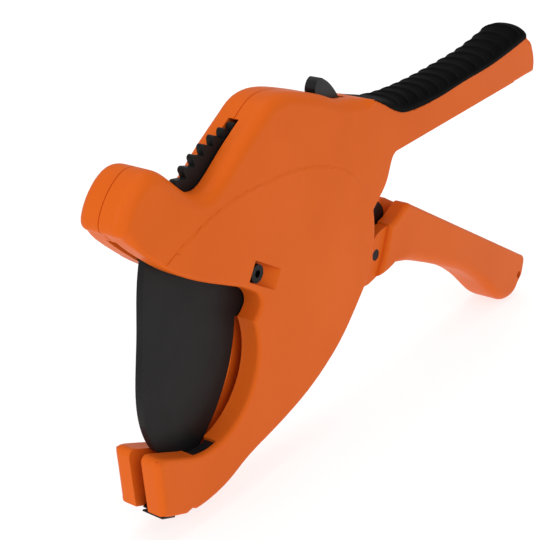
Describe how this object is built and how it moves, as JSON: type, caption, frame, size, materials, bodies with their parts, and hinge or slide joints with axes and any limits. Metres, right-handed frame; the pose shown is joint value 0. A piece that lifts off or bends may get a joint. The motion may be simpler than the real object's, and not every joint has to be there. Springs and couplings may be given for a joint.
{
  "type": "ratcheting pipe cutter",
  "caption": "Hand-held ratcheting cutter for plastic pipe: hooked jaw, swinging toothed blade, squeeze handle with drive pawl, thumb release lever and rubber grip.",
  "frame": {"origin": "centre of the largest pipe seated in the jaw, on the tool's mid-plane", "axes": "+X towards the handles, +Y across the thickness along the pipe's axis, +Z towards the upper handle's side"},
  "size_m": [0.3127, 0.022, 0.1555],
  "materials": {
    "orange_housing": "satin orange powder coat on a die casting",
    "black_blade": "low-friction black coating on steel",
    "black_rubber": "matte moulded rubber",
    "dark_steel": "black-oxide steel",
    "bright_steel": "ground steel",
    "bronze_bush": "sintered bronze",
    "black_plastic": "satin moulded plastic"
  },
  "bodies": {
    "housing": {"right_housing": "orange_housing", "left_housing": "orange_housing", "upper_grip": "black_rubber", "jaw_insert": "black_plastic", "anvil_pads": "black_plastic", "blade_bush": "bronze_bush", "blade_washers": "bright_steel", "blade_pivot_bolt": "dark_steel", "blade_pivot_nut": "bright_steel", "blade_return_spring": "bright_steel", "handle_pivot_pin": "dark_steel", "handle_spring": "bright_steel", "housing_screws": "dark_steel", "alignment_dowels": "bright_steel", "release_lever_pin": "bright_steel", "release_lever_spring": "bright_steel"},
    "blade": {"blade": "black_blade"},
    "lower_handle": {"lower_handle": "orange_housing", "handle_bushes": "bronze_bush", "drive_pawl_pin": "dark_steel", "drive_pawl_spring": "bright_steel"},
    "drive_pawl": {"drive_pawl": "dark_steel"},
    "release_lever": {"release_lever": "black_plastic"}
  },
  "joints": [
    {"name": "blade_swing", "type": "hinge", "parent": "housing", "child": "blade", "pos_m": [0.032, 0, 0.03], "axis": [0, 1, 0], "range_deg": [-10, 90]},
    {"name": "handle_squeeze", "type": "hinge", "parent": "housing", "child": "lower_handle", "pos_m": [0.0955, 0, 0.006], "axis": [0, 1, 0], "range_deg": [-22, 0], "stiffness_Nm_per_rad": 1, "springref_deg": 34.38},
    {"name": "drive_pawl_swing", "type": "hinge", "parent": "lower_handle", "child": "drive_pawl", "pos_m": [0.1188, 0, 0.0094], "axis": [0, 1, 0], "range_deg": [0, 23]},
    {"name": "release_lever_press", "type": "hinge", "parent": "housing", "child": "release_lever", "pos_m": [0.084, 0, 0.0725], "axis": [0, 1, 0], "range_deg": [0, 12], "stiffness_Nm_per_rad": 0.2, "springref_deg": -11.46}
  ],
  "couplings": [
    {"joint": "drive_pawl_swing", "follows": "handle_squeeze", "ratio": -1.0374}
  ]
}
